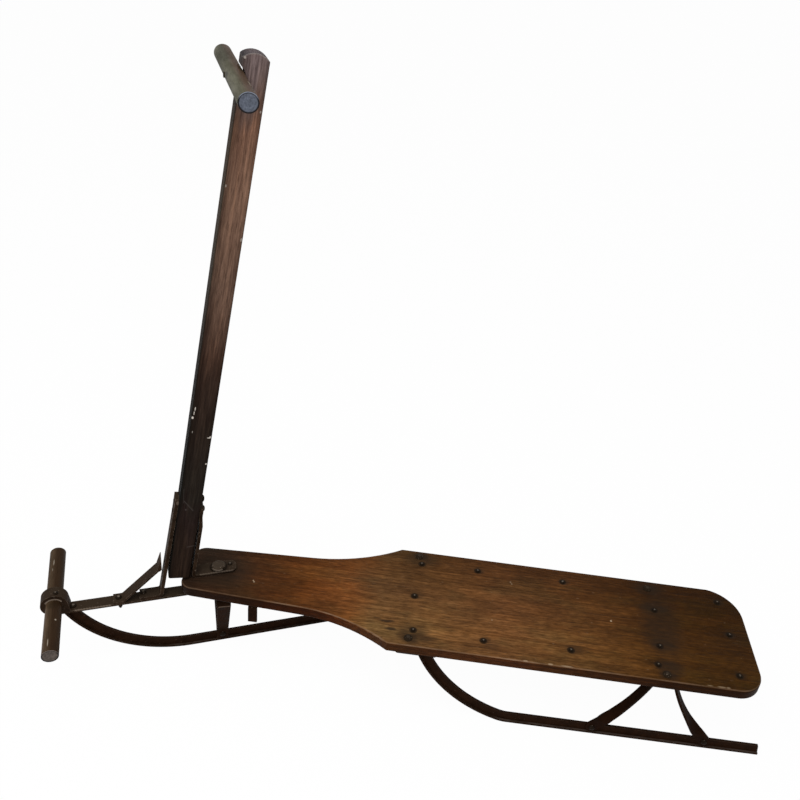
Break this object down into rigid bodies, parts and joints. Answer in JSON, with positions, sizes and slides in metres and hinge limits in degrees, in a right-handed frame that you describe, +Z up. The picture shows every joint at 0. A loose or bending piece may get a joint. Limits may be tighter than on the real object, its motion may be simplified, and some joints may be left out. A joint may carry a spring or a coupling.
{
  "type": "kick sled",
  "caption": "Wooden kick sled: long deck on bowed steel runners, steered by a raked post with a handlebar over one front runner and a round foot bar.",
  "frame": {"origin": "on the ground under the middle of the whole sled", "axes": "+X forward along the deck, +Y to the left, +Z up"},
  "size_m": [1.1736, 0.3244, 0.9584],
  "materials": {
    "deck_wood": "worn varnish",
    "batten_wood": "worn varnish",
    "post_wood": "dark worn varnish",
    "bar_wood": "worn paint",
    "foot_wood": "worn paint",
    "iron": "old dark paint and rust"
  },
  "bodies": {
    "sled": {"deck": "deck_wood", "batten_front": "batten_wood", "batten_second": "batten_wood", "batten_third": "batten_wood", "batten_knee": "batten_wood", "batten_tail": "batten_wood", "runner_left": "iron", "runner_right": "iron", "knee_left": "iron", "knee_right": "iron", "keeper": "iron", "spacer": "iron", "kingpin": "iron"},
    "steering": {"steering_bar": "iron", "foot_bar": "foot_wood", "runner_front": "iron", "saddle": "iron", "post": "post_wood", "handlebar": "bar_wood", "strap_front": "iron", "strap_rear": "iron", "brace": "iron"}
  },
  "joints": [
    {"name": "steer", "type": "hinge", "parent": "sled", "child": "steering", "pos_m": [0.31124, -0.03422, 0.155], "axis": [0, 0, 1], "range_deg": [-47.5, 2.5]}
  ]
}
